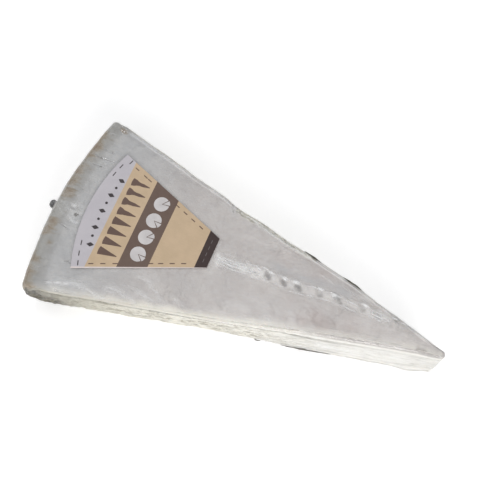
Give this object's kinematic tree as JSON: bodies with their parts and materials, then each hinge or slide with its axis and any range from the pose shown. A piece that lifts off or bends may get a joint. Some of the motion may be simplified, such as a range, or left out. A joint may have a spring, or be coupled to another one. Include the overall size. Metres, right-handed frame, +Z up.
{
  "type": "film-wrapped wedge of brie",
  "caption": "Long pointed wedge of soft white-rind cheese in tight clear film, with a sector-shaped paper label on top, lying flat as sold.",
  "frame": {"origin": "middle of the underside of the part's box, on the surface that it lies on", "axes": "+X from the rounded rim to the tip, +Z up through the thickness, -Y towards the cut face on the right of somebody who looks from rim to tip"},
  "size_m": [0.188, 0.0904, 0.0242],
  "materials": {
    "cheese": "soft downy white rind with tan stains round the rim, ivory paste on both cuts",
    "film": "clear thin shrink film, tight, glossy, with fine creases",
    "label": "coated paper, satin, printed in flat tan, brown and white fields"
  },
  "bodies": {
    "root": {"wrapped_wedge": "cheese", "paper_label": "label"}
  },
  "joints": []
}
